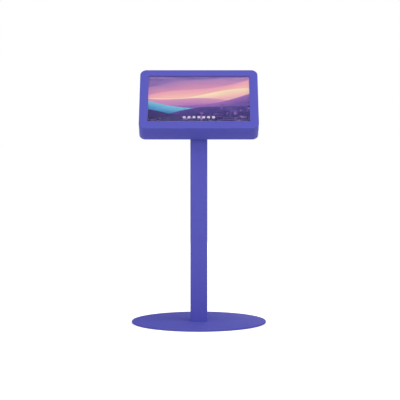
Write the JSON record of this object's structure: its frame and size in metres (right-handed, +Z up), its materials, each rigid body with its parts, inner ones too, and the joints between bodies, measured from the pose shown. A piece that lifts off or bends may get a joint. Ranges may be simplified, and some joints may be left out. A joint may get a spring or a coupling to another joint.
{
  "type": "information kiosk",
  "caption": "Floor-standing information kiosk: a tilted touch display in a flat round-cornered steel head, on a square post and a round base plate.",
  "frame": {"origin": "centre of the round footprint, on the floor", "axes": "+Z up along the post; the screen faces -Y and leans back; +X is the picture's right"},
  "size_m": [0.6359, 0.636, 1.1972],
  "materials": {
    "powder_coat": "semi-gloss powder coat, blue-violet",
    "black_rubber": "matt moulded rubber",
    "black_foam": "matt closed-cell foam",
    "zinc_plated_steel": "bright zinc plate",
    "bright_steel": "bright nickel plate",
    "galvanised_sheet": "galvanised sheet",
    "black_plastic": "fine moulded grain",
    "supply_plastic": "fine moulded grain",
    "display_body": "lit display surface, steel back",
    "touch_glass": "clear polished glass",
    "pc_paint": "satin paint on steel sheet",
    "circuit_board": "solder mask",
    "button_plastic": "satin moulded plastic",
    "lead_jacket": "soft extruded jacket"
  },
  "bodies": {
    "stand": {"base_plate": "powder_coat", "rubber_pads": "black_rubber", "base_screws": "zinc_plated_steel", "post_tube": "powder_coat", "post_foot": "galvanised_sheet", "post_top_plate": "powder_coat", "power_inlet": "black_plastic", "inlet_pins": "zinc_plated_steel", "inlet_screws": "zinc_plated_steel", "inlet_boot": "black_rubber", "mains_lead": "lead_jacket", "lead_clips": "black_plastic", "lead_grommet": "black_rubber", "head_shell": "powder_coat", "back_panel": "powder_coat", "panel_screws": "zinc_plated_steel", "backing_plate": "galvanised_sheet", "head_bolts": "zinc_plated_steel", "head_washers": "zinc_plated_steel", "hinge_panel_leaves": "zinc_plated_steel", "hinge_pins": "bright_steel", "hinge_panel_screws": "zinc_plated_steel", "screen_gasket": "black_foam", "touch_glass": "touch_glass", "lcd_panel": "display_body", "display_chassis": "galvanised_sheet", "display_brackets": "galvanised_sheet", "bracket_nuts": "zinc_plated_steel", "bracket_screws": "zinc_plated_steel", "controller_board": "circuit_board", "controller_cover": "galvanised_sheet", "keypad_board": "circuit_board", "keypad_case": "black_plastic", "pc_bracket": "galvanised_sheet", "pc_case": "pc_paint", "pc_lid": "pc_paint", "pc_screws": "zinc_plated_steel", "pc_board": "circuit_board", "fan_frame": "black_plastic", "power_supply": "supply_plastic", "supply_strap": "zinc_plated_steel", "signal_leads": "lead_jacket", "dc_lead": "lead_jacket", "lead_plugs": "black_plastic"},
    "door": {"service_door": "powder_coat", "hinge_door_leaves": "zinc_plated_steel", "hinge_door_screws": "zinc_plated_steel", "lock_body": "bright_steel", "lock_nut": "zinc_plated_steel"},
    "lock": {"lock_barrel": "bright_steel", "lock_cam": "zinc_plated_steel", "cam_screw": "zinc_plated_steel"},
    "inlet_switch": {"power_switch": "black_plastic"},
    "fan": {"fan_rotor": "black_plastic"},
    "computer_button": {"pc_power_button": "button_plastic"},
    "display_key_1": {"key_1": "button_plastic"},
    "display_key_2": {"key_2": "button_plastic"},
    "display_key_3": {"key_3": "button_plastic"},
    "display_key_4": {"key_4": "button_plastic"},
    "display_key_5": {"key_5": "button_plastic"}
  },
  "joints": [
    {"name": "door_hinge", "type": "hinge", "parent": "stand", "child": "door", "pos_m": [0, 0.06175, 1.0152], "axis": [-1, 0, 0], "range_deg": [0, 110]},
    {"name": "lock_turn", "type": "hinge", "parent": "door", "child": "lock", "pos_m": [0, 0.12039, 1.09756], "axis": [0, -0.788, 0.6157], "range_deg": [0, 90]},
    {"name": "power_switch_rock", "type": "hinge", "parent": "stand", "child": "inlet_switch", "pos_m": [0, 0.039, 0.1008], "axis": [-1, 0, 0], "range_deg": [0, 20]},
    {"name": "fan_spin", "type": "hinge", "parent": "stand", "child": "fan", "pos_m": [-0.115, 0.07121, 1.06872], "axis": [0, -0.788, 0.6157], "continuous": true},
    {"name": "computer_button_press", "type": "slide", "parent": "stand", "child": "computer_button", "axis": [0, -0.788, 0.6157], "range_m": [0, 0.0015], "stiffness_N_per_m": 800},
    {"name": "display_key_1_press", "type": "slide", "parent": "stand", "child": "display_key_1", "axis": [0, -0.788, 0.6157], "range_m": [0, 0.0008], "stiffness_N_per_m": 1000},
    {"name": "display_key_2_press", "type": "slide", "parent": "stand", "child": "display_key_2", "axis": [0, -0.788, 0.6157], "range_m": [0, 0.0008], "stiffness_N_per_m": 1000},
    {"name": "display_key_3_press", "type": "slide", "parent": "stand", "child": "display_key_3", "axis": [0, -0.788, 0.6157], "range_m": [0, 0.0008], "stiffness_N_per_m": 1000},
    {"name": "display_key_4_press", "type": "slide", "parent": "stand", "child": "display_key_4", "axis": [0, -0.788, 0.6157], "range_m": [0, 0.0008], "stiffness_N_per_m": 1000},
    {"name": "display_key_5_press", "type": "slide", "parent": "stand", "child": "display_key_5", "axis": [0, -0.788, 0.6157], "range_m": [0, 0.0008], "stiffness_N_per_m": 1000}
  ]
}
